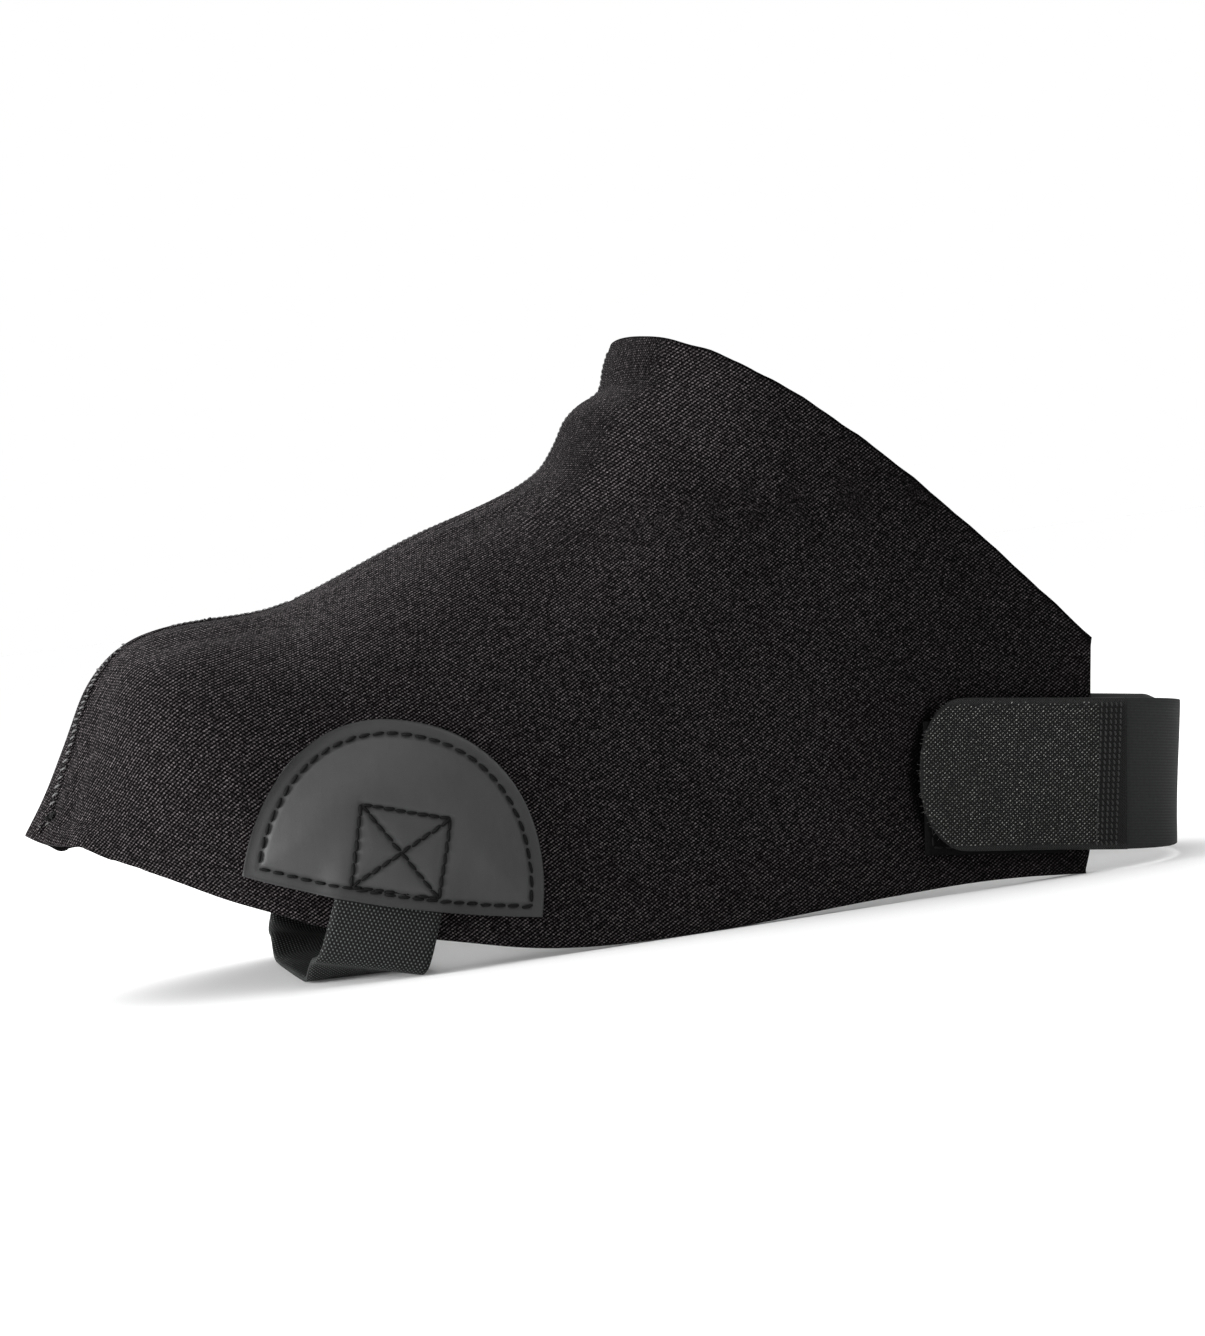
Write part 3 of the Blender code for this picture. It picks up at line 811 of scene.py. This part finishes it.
# Where the thread is tied off at the toe, where its loose ends lie, and the seam's section.
KNOT = (-66.2, -4.9, 47.0)
TAILS = (-69.2, -3.2, 44.6)
SEAM_HALF = 1.35 * MM
SEAM_PROFILE = (
    (-1, -0.3), (-0.86, 0.1), (-0.68, 0.6), (-0.4, 0.9), (-0.08, 0.35),
    (0.08, 0.35), (0.4, 0.9), (0.68, 0.6), (0.86, 0.1), (1, -0.3),
)


def make_seam(cover):
    """Raised centre seam with its zigzag of thread, from the toe to the collar."""
    tree = surface_of(cover)
    path = seam_path(230)
    ridge = []
    count = len(path)
    for k, point in enumerate(path):
        spot, normal = on_surface(tree, point)
        ahead = Vector(path[min(k + 1, count - 1)] - path[max(k - 1, 0)])
        ahead = (ahead - normal * ahead.dot(normal)).normalized()
        side = normal.cross(ahead)
        toe = min(max((15 - point[0] / MM) / 40, 0), 1)
        tall = (0.14 + 0.46 * toe) * MM
        row = []
        for share, height in SEAM_PROFILE:
            base = Vector(spot + side * (share * SEAM_HALF))
            foot, up = on_surface(tree, base)
            row.append(foot + up * (height * tall))
        row.append(spot - normal * 0.6 * MM)
        ridge.append(row)
    wide = len(ridge[0])
    points = [tuple(p) for row in ridge for p in row]
    faces = []
    for i in range(count - 1):
        for j in range(wide):
            a, b = i * wide + j, i * wide + (j + 1) % wide
            faces.append((a, b, b + wide, a + wide))
    faces.append(tuple(range(wide))[::-1])
    faces.append(tuple((count - 1) * wide + j for j in range(wide)))
    mesh = bpy.data.meshes.new("seam_ridge")
    mesh.from_pydata(points, [], faces)
    shape = bmesh.new()
    shape.from_mesh(mesh)
    bmesh.ops.recalc_face_normals(shape, faces=shape.faces)
    layer = shape.loops.layers.uv.new("UVMap")
    for face in shape.faces:
        face.smooth = True
        for loop in face.loops:
            loop[layer].uv = (loop.vert.co.x, loop.vert.co.z + loop.vert.co.y)
    shape.to_mesh(mesh)
    shape.free()
    piece = bpy.data.objects.new("seam_ridge", mesh)
    bpy.context.scene.collection.objects.link(piece)
    finished(piece, "seam_ridge", "neoprene", KNIT)

    ridge_tree = surface_of(piece)
    fine = seam_path(1200)
    run = lengths_along(fine)
    draw = random.Random(5)
    marks = []
    at, k = 6.5 * MM, 0
    while at < run[-1] - 1.5 * MM:
        k += 1
        height = np.interp(at, run, fine[:, 2]) / MM
        at += (0.74 + 0.36 * softened((70 - height) / 12)) * MM
        point = point_at(fine, run, at)
        ahead = point_at(fine, run, at + 0.5 * MM) - point
        spot, normal = on_surface(ridge_tree, point)
        side = Vector(normal).cross(Vector(ahead)).normalized()
        marks.append(spot + side * (0.95 * MM * draw.uniform(0.88, 1.1) * (1 if k % 2 else -1)))
    strokes = ([], [])
    for k, (a, b) in enumerate(zip(marks, marks[1:])):
        spot, normal = on_surface(ridge_tree, (a + b) / 2, (0.04 if k % 2 else 0.22) * MM)
        strokes[k % 2].append(framed(spot, b - a, normal, ((b - a).length / (1.9 * MM), 1, 1)))
    # Painted shade: the legs of one slant are black thread lying low, standing in for the shadows between
    # the light legs.
    for name, places, material in (
        ("seam_shadow_legs", strokes[1], BLACK_THREAD),
        ("seam_thread", strokes[0], SEAM_THREAD),
    ):
        sewn(name, "neoprene", material, (2.1, 0.58, 0.5), places)

    both_trees = surface_of(piece, cover)
    knot = []
    for k in range(16):
        shift = Vector((draw.uniform(-1.5, 1.9), draw.uniform(-1.3, 0.9), draw.uniform(-0.9, 0.9)))
        spot, normal = on_surface(both_trees, (Vector(KNOT) + shift) * MM, draw.uniform(0.2, 0.8) * MM)
        way = Vector((draw.uniform(-1, 1), draw.uniform(-1, 1), draw.uniform(-0.5, 0.5)))
        knot.append(framed(spot, way, normal))
    sewn("seam_knot", "neoprene", BLACK_THREAD, (1.9, 0.5, 0.5), knot)
    tails = []
    for k in range(11):
        shift = Vector((draw.uniform(-1.2, 2.6), draw.uniform(-1.6, 1.4), draw.uniform(-0.8, 1.2)))
        spot, normal = on_surface(both_trees, (Vector(TAILS) + shift) * MM, 0.25 * MM)
        way = Vector((draw.uniform(-1, 1), draw.uniform(-1, 1), draw.uniform(0, 1.4)))
        tails.append(framed(spot, way, normal))
    sewn("seam_tails", "neoprene", TAIL_THREAD, (1.5, 0.30, 0.30), tails)


def patch_place(across, up):
    """Where the patch's own coordinates lie along and up the side of the cover."""
    x = PATCH_FOOT[0] + across * math.cos(PATCH_LEAN) + up * math.sin(PATCH_LEAN)
    z = PATCH_FOOT[1] - across * math.sin(PATCH_LEAN) + up * math.cos(PATCH_LEAN)
    return x, z


def patch_axes(x, z):
    dx, dz = x - PATCH_FOOT[0], z - PATCH_FOOT[1]
    across = dx * math.cos(PATCH_LEAN) - dz * math.sin(PATCH_LEAN)
    up = dx * math.sin(PATCH_LEAN) + dz * math.cos(PATCH_LEAN)
    return across, up


def patch_lines():
    """Sewn lines of a patch: its outline, the box and the cross, in its own coordinates."""
    inset = PATCH_STITCH_INSET
    half, high = PATCH_HALF - inset, PATCH_HEIGHT - inset
    angle = np.linspace(0.0, math.pi, 90)
    power = 2 / PATCH_POWER
    arc_u = np.abs(np.sin(angle)) ** power * high
    arc_a = -np.sign(np.cos(angle)) * np.abs(np.cos(angle)) ** power * half + PATCH_SLANT * arc_u
    low = inset * 0.9
    keep = arc_u > low
    arc = np.stack([arc_a[keep], arc_u[keep]], axis=1)
    floor_a = np.linspace(arc[-1, 0], arc[0, 0], 60)
    floor_u = low - PATCH_BOW * (1 - (floor_a / PATCH_HALF) ** 2)
    outline = np.vstack([arc, np.stack([floor_a, floor_u], axis=1)])
    a, b, c, d = (patch_axes(x * MM, z * MM) for x, z in BOX_CORNERS)
    lines = [outline]
    for start, end in ((a, b), (b, c), (c, d), (d, a), (a, c), (b, d)):
        t = np.linspace(0, 1, 24)[:, None]
        lines.append(np.array(start) * (1 - t) + np.array(end) * t)
    return lines


def webbing_axes(x, z):
    dx, dz = x - WEBBING_AT[0], z - WEBBING_AT[1]
    c, s = math.cos(WEBBING_LEAN), math.sin(WEBBING_LEAN)
    return dx * c - dz * s, dx * s + dz * c


def softened(share):
    """A share held between 0 and 1, with soft ends."""
    share = np.clip(share, 0, 1)
    return share * share * (3 - 2 * share)


def along_line(line, count):
    """Evenly numbered points on a line of the patch."""
    old, new = np.linspace(0, 1, len(line)), np.linspace(0, 1, count)
    return np.stack([np.interp(new, old, line[:, k]) for k in (0, 1)], axis=1)


def nearest_gap(points, spots):
    """How far each point lies from the nearest of the spots."""
    gap = np.full(len(points), 1.0)
    for start in range(0, len(spots), 200):
        block = spots[start:start + 200]
        gap = np.minimum(gap, np.sqrt(((points[:, None] - block[None]) ** 2).sum(-1)).min(1))
    return gap


def relaxed(piece, points, loose, times):
    """Points of the loose part of a mesh, each moved halfway to its neighbours' middle."""
    ends = np.array([edge.vertices[:] for edge in piece.data.edges])
    count = np.bincount(ends.ravel(), minlength=len(points))[:, None]
    points = points.copy()
    for _ in range(times):
        total = np.zeros_like(points)
        np.add.at(total, ends[:, 0], points[ends[:, 1]])
        np.add.at(total, ends[:, 1], points[ends[:, 0]])
        points[loose] = (0.5 * points + 0.5 * total / count)[loose]
    return points


def make_patch(node, side, skin):
    """Coated half moon, pressed down along its stitches and full between them."""
    piece = copy_of(node)
    crease_and_seam(piece, SHARP, 1.0)
    subdivide(piece, 3)
    points, normals = points_of(piece), normals_of(piece)
    across, up = patch_axes(points[:, 0], points[:, 2])
    lines = patch_lines()
    spots = np.vstack([along_line(line, 400) for line in lines])
    own = np.stack([across, up], axis=1)
    near = nearest_gap(own, spots)
    to_outline = nearest_gap(own, along_line(lines[0], 600))
    half, high = PATCH_HALF - PATCH_STITCH_INSET, PATCH_HEIGHT - PATCH_STITCH_INSET
    span = np.abs(across - PATCH_SLANT * up) / half
    inside = (span**PATCH_POWER + (np.maximum(up, 0) / high) ** PATCH_POWER < 1)
    inside &= up > PATCH_STITCH_INSET * 0.9 - PATCH_BOW * (1 - (across / PATCH_HALF) ** 2)
    wx, wu = webbing_axes(points[:, 0], points[:, 2])
    beyond = np.hypot(np.maximum(np.abs(wx) - WEBBING_HALF, 0), np.maximum(wu - WEBBING_SEWN, 0)) / MM
    rise = 1.7 * (1 - softened(beyond / 6.5))
    dome = 2.0 * softened(to_outline / (13 * MM)) ** 0.8 * inside
    full = 0.5 * (rise + dome + np.sqrt((rise - dome) ** 2 + 0.25)) - 0.12
    face = softened((normals[:, 1] * side - 0.72) / 0.2)
    height = np.zeros(len(points))
    for k in np.flatnonzero(face > 0):
        spot, normal, _, _ = skin.find_nearest(Vector(points[k]))
        height[k] = (Vector(points[k]) - spot).dot(normal) / MM
    points += normals * (face * (1.3 + full - height))[:, None] * MM
    points = relaxed(piece, points, face > 0.99, 30)
    move_points(piece, points)
    normals = normals_of(piece)
    pressed = 0.22 * bell(near, 2.6 * MM) + 0.42 * bell(near, 0.75 * MM)
    pressed += 0.2 * (1 - inside) * softened(to_outline / (2.2 * MM))
    points -= normals * (face * pressed)[:, None] * MM
    move_points(piece, points)
    # 1 within the stitches, 0 on the border and in the stitch grooves, which the finish darkens partly as
    # painted shade.
    shine = piece.data.attributes.new("within", "FLOAT", "POINT")
    shine.data.foreach_set("value", inside * softened(to_outline / (1.2 * MM)) * (1 - bell(near, 0.7 * MM)))
    finished(piece, node + "_coated", "coated_patch", COATED)
    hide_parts(node)
    tree = surface_of(piece)
    places = []
    for number, line in enumerate(lines):
        path = path_from_side(tree, side, [patch_place(a, u) for a, u in line])
        pitch = 3.35 * MM if number == 0 else 2.8 * MM
        places += sewn_line(node + str(number), tree, path, pitch, 0.5 * MM, 0.1, 0.55)
    sewn(node + "_stitches", "coated_patch", BLACK_THREAD, (2.9, 0.76, 0.72), places)


def make_strap():
    """Webbing that crosses underneath, kept above the floor."""
    piece = copy_of("foot_strap")
    crease_and_seam(piece, SHARP, 0.85)
    unfold(piece, (1, 0, 0))
    subdivide(piece, 2)
    points = points_of(piece)
    points[:, 2] = np.maximum(points[:, 2], 0)
    move_points(piece, points)
    finished(piece, "webbing_strap", "webbing", WEBBING)
    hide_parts("foot_strap")


def make_band():
    """Elastic round the heel, drawn in towards its lower edge, and its sewn inner end."""
    piece = copy_of("heel_band")
    crease_and_seam(piece, SHARP, 0.85)
    unfold(piece, (0, 0, 1j))
    subdivide(piece, 2)
    points = points_of(piece)
    rear = softened((points[:, 0] - 200 * MM) / (24 * MM))
    low = softened((42 * MM - points[:, 2]) / (34 * MM))
    points[:, 0] -= rear * (0.4 + 1.1 * low) * MM
    inner_run = softened((points[:, 0] - 204 * MM) / (12 * MM))
    inner_run = inner_run * softened((points[:, 1] - 2 * MM) / (10 * MM))
    points[:, 2] += inner_run * 1.5 * MM
    move_points(piece, points)
    finished(piece, "elastic_band", "elastic", ELASTIC)
    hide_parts("heel_band")
    end = sewn_rectangle("band_end", surface_of(piece), INNER, (11.5, 42.0), (-16.6, 16.6), 3.0)
    sewn("band_end_stitches", "elastic", BLACK_THREAD, (2.5, 0.65, 0.55), end)


def band_place(along, up):
    x = BAND_AT[0] + along * math.cos(BAND_FALL) + up * math.sin(BAND_FALL)
    z = BAND_AT[1] - along * math.sin(BAND_FALL) + up * math.cos(BAND_FALL)
    return x, z


def sewn_rectangle(name, tree, side, alongs, ups, pitch):
    """Stitches round a rectangle in the band's own axes, given in millimetres."""
    corners = [(alongs[0], ups[0]), (alongs[1], ups[0]), (alongs[1], ups[1]), (alongs[0], ups[1])]
    places = []
    for k, (start, end) in enumerate(zip(corners, corners[1:] + corners[:1])):
        shares = np.linspace(0, 1, 30)[:, None]
        line = (np.array(start) * (1 - shares) + np.array(end) * shares) * MM
        path = path_from_side(tree, side, [band_place(a, u) for a, u in line])
        if len(path) > 2:
            places += sewn_line(name + str(k), tree, path, pitch * MM, 0.5 * MM)
    return places


def tab_half(along):
    """Half height of the tab at this distance from its nose."""
    if along >= TAB_NOSE:
        return BAND_HALF
    turn = math.acos(max(-1, min(1, 1 - along / TAB_NOSE)))
    return BAND_HALF * (0.08 + 0.92 * math.sin(turn))


def hook_shape():
    """One small hook: a short bent stub of nylon."""
    bpy.ops.mesh.primitive_uv_sphere_add(segments=5, ring_count=4, radius=1.0)
    hook = bpy.context.active_object
    points = points_of(hook) * np.array([0.25, 0.17, 0.24]) * MM
    points[:, 0] += 0.35 * np.maximum(points[:, 2], 0)
    move_points(hook, points)
    return hook


def make_tab():
    """Hook tape: ground weave with rows of small hooks, and its sewn joint with the elastic."""
    piece = copy_of("hook_tab")
    crease_and_seam(piece, SHARP, 0.9)
    c, s = math.cos(BAND_FALL), math.sin(BAND_FALL)
    unfold(piece, (c + 1j * s, 0, -s + 1j * c))
    subdivide(piece, 2)
    finished(piece, "hook_tab_tape", "hook_tape", TAPE)
    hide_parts("hook_tab")
    tree = surface_of(piece)
    draw = random.Random(11)
    places = []
    pitch_x, pitch_z = 0.60 * MM, 1.08 * MM
    columns = int(46.8 * MM / pitch_x)
    for i in range(columns):
        along = 0.9 * MM + i * pitch_x
        reach = min(tab_half(along) - 0.5 * MM, BAND_HALF - 1.4 * MM)
        rows = int(reach / pitch_z)
        for j in range(-rows, rows + 1):
            a = along + draw.uniform(-0.08, 0.08) * MM
            u = (j + 0.5 * (i % 2)) * pitch_z + draw.uniform(-0.08, 0.08) * MM
            if abs(u) > reach + draw.uniform(-0.7, 0.5) * MM:
                continue
            spot, normal = from_side(tree, OUTER, band_place(a, u))
            if spot is None:
                continue
            lean = Vector((1, 0, draw.uniform(0.2, 1.2)))
            size = draw.uniform(0.82, 1.12)
            places.append(framed(spot + normal * 0.04 * MM, lean, normal, (size, size, size)))
    hooks = scattered("hook_rows", hook_shape(), places)
    finished(hooks, "hook_rows", "hook_tape", HOOK)
    joint = []
    for column in range(5):
        along = 47.4 * MM + column * 1.3 * MM
        ups = [(k / 39 * 2 - 1) * (BAND_HALF - 1.0 * MM) for k in range(40)]
        line = [band_place(along + 0.8 * MM * u / BAND_HALF, u) for u in ups]
        path = path_from_side(tree, OUTER, line)
        sway = 0.25 + 0.1 * (column % 2)
        joint += sewn_line("joint" + str(column), tree, path, 1.45 * MM, 0.4 * MM, sway)
    sewn("joint_stitches", "hook_tape", JOINT_THREAD, (1.15, 0.50, 0.42), joint)
    fuzz = []
    for k in range(80):
        u = draw.uniform(-1, 1) * BAND_HALF * 0.92
        along = 0.0
        while tab_half(along) < abs(u) and along < TAB_NOSE:
            along += 0.2 * MM
        spot, normal = from_side(tree, OUTER, band_place(along + 0.3 * MM, u))
        if spot is None:
            continue
        way = Vector((-1, draw.uniform(-0.5, 0.4), draw.uniform(-0.5, 0.9) + u / BAND_HALF * 0.7))
        long = draw.uniform(0.35, 0.95)
        start = spot - normal * 0.3 * MM
        fuzz.append(framed(start, Vector((draw.uniform(-1, 1), 1, draw.uniform(-1, 1))), way, (1, 1, long)))
    bpy.ops.mesh.primitive_cone_add(
        vertices=4, radius1=0.07 * MM, radius2=0.03 * MM, depth=1.5 * MM, location=(0, 0, 0.75 * MM)
    )
    hair = bpy.context.active_object
    bpy.ops.object.transform_apply(location=True)
    finished(scattered("nose_fuzz", hair, fuzz), "nose_fuzz", "hook_tape", TAIL_THREAD)


def make_pad():
    """Loop tape under the tab, sewn round its border."""
    piece = copy_of("loop_pad")
    crease_and_seam(piece, SHARP, 0.8)
    subdivide(piece, 2)
    finished(piece, "loop_pad_nap", "loop_tape", LOOP)
    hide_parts("loop_pad")
    border = sewn_rectangle("pad_border", surface_of(piece), OUTER, (3.6, 36.8), (-17.9, 11.1), 3.0)
    sewn("pad_stitches", "loop_tape", BLACK_THREAD, (2.5, 0.6, 0.5), border)


def make_stage():
    """Pale floor, a room brighter above that the camera sees as white, and two lamps."""
    bpy.ops.mesh.primitive_plane_add(size=90, location=(0, 0, 0))
    floor = bpy.context.active_object
    floor.name = "floor"
    bpy.ops.object.transform_apply(location=True)
    finish = Finish("pale_floor", Roughness=1.0, Specular_IOR_Level=0.0, Emission_Strength=0.05)
    finish.shader.inputs["Base Color"].default_value = (0.88, 0.88, 0.88, 1)
    finish.shader.inputs["Emission Color"].default_value = (1, 1, 1, 1)
    floor.data.materials.append(finish.material)

    world = bpy.data.worlds.new("studio")
    bpy.context.scene.world = world
    world.use_nodes = True
    tree = world.node_tree
    tree.nodes.clear()
    output = tree.nodes.new("ShaderNodeOutputWorld")
    room = tree.nodes.new("ShaderNodeBackground")
    white = tree.nodes.new("ShaderNodeBackground")
    choose = tree.nodes.new("ShaderNodeMixShader")
    seen = tree.nodes.new("ShaderNodeLightPath")
    way = tree.nodes.new("ShaderNodeTexCoord")
    parts = tree.nodes.new("ShaderNodeSeparateXYZ")
    rise = tree.nodes.new("ShaderNodeMapRange")
    for end, value in (("From Min", 0.05), ("From Max", 1.0), ("To Min", 0.08), ("To Max", 1.62)):
        rise.inputs[end].default_value = value
    tree.links.new(way.outputs["Generated"], parts.inputs[0])
    tree.links.new(parts.outputs[2], rise.inputs[0])
    tree.links.new(rise.outputs[0], room.inputs["Strength"])
    for backing in (room, white):
        backing.inputs["Color"].default_value = (1, 1, 1, 1)
    tree.links.new(seen.outputs["Is Camera Ray"], choose.inputs[0])
    tree.links.new(room.outputs[0], choose.inputs[1])
    tree.links.new(white.outputs[0], choose.inputs[2])
    tree.links.new(choose.outputs[0], output.inputs[0])

    middle = Vector((0.075, 0.0, 0.06))
    for name, place, size, power in (
        ("key", (-1.30, -0.16, 0.26), 0.6, 34.0),
        ("back", (-0.35, 0.95, 1.15), 0.9, 11.0),
    ):
        lamp = bpy.data.lights.new(name, "AREA")
        lamp.shape = "DISK"
        lamp.size = size
        lamp.energy = power
        stand = bpy.data.objects.new(name, lamp)
        stand.location = place
        stand.rotation_euler = (middle - Vector(place)).to_track_quat("-Z", "Y").to_euler()
        bpy.context.scene.collection.objects.link(stand)


def make_camera():
    """The photograph's angle, rolled as the cover leans when it stands empty."""
    eye = Vector((-0.10956, -0.88033, 0.08921))
    look = Vector((0.20625, 0.97815, -0.02624)).normalized()
    up = Vector((math.sin(CAMERA_LEAN), 0, math.cos(CAMERA_LEAN)))
    right = look.cross(up).normalized()
    up = right.cross(look)
    camera = bpy.data.cameras.new("camera")
    camera.sensor_fit = "VERTICAL"
    camera.sensor_height = 36.0
    camera.sensor_width = 36.0 * 1205 / 1336
    camera.lens = 99.1 / 1.04
    camera.clip_start = 0.01
    holder = bpy.data.objects.new("camera", camera)
    turn = Matrix((right, up, -look)).transposed().to_4x4()
    holder.matrix_world = Matrix.Translation(eye) @ turn
    bpy.context.scene.collection.objects.link(holder)
    bpy.context.scene.camera = holder
    bpy.context.scene.view_settings.view_transform = "Standard"


make_camera()
make_stage()
cover = make_upper()
make_seam(cover)
make_patch("patch_outer", OUTER, surface_of(cover))
make_patch("patch_inner", INNER, surface_of(cover))
make_strap()
make_band()
make_pad()
make_tab()
